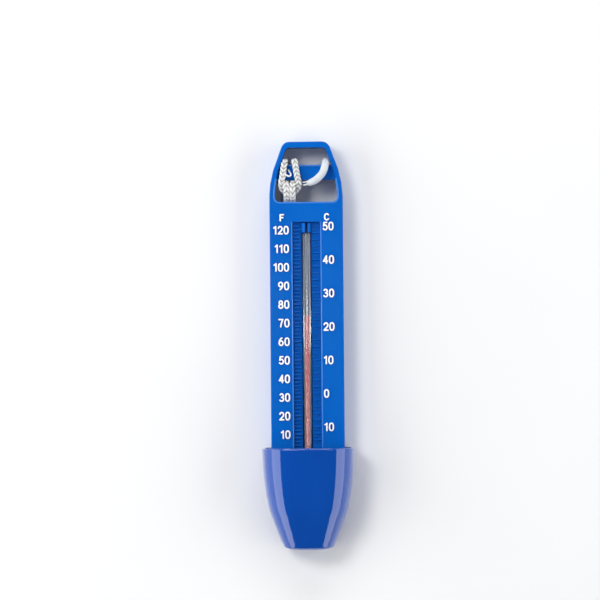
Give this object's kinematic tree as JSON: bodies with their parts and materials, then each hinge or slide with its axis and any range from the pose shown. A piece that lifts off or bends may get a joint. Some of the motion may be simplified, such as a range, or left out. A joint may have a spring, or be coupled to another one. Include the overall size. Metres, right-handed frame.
{
  "type": "floating pool thermometer",
  "caption": "Floating pool thermometer: moulded scale body with a hanging eye, glass spirit tube, press-on scoop cup and a braided cord folded behind it.",
  "frame": {"origin": "on the surface it lies on, under the middle of the thermometer's width and length", "axes": "+Z out of the scale's face, +Y along the tube towards the hanging eye, +X towards the Celsius side"},
  "size_m": [0.0408, 0.178, 0.027],
  "materials": {
    "blue_body": "satin blue polypropylene",
    "blue_cup": "glossy blue polypropylene",
    "glass": "clear drawn glass",
    "enamel": "white enamel",
    "spirit": "red spirit",
    "cord": "white braided cord",
    "tie": "white paper-covered tie"
  },
  "bodies": {
    "thermometer": {"scale_body": "blue_body", "scoop_cup": "blue_cup", "glass_tube": "glass", "tube_tip": "glass", "enamel_backing": "enamel", "spirit_in_bulb": "spirit", "spirit_column": "spirit", "cord_hitch": "cord", "cord_run": "cord", "cord_tail": "cord", "cord_hank": "cord", "hank_tie": "tie"},
    "meniscus": {"spirit_meniscus": "spirit"}
  },
  "joints": [
    {"name": "spirit_rise", "type": "slide", "parent": "thermometer", "child": "meniscus", "axis": [0, 1, 0], "range_m": [-0.0519, 0.0373], "deforming": ["spirit_column"]}
  ]
}
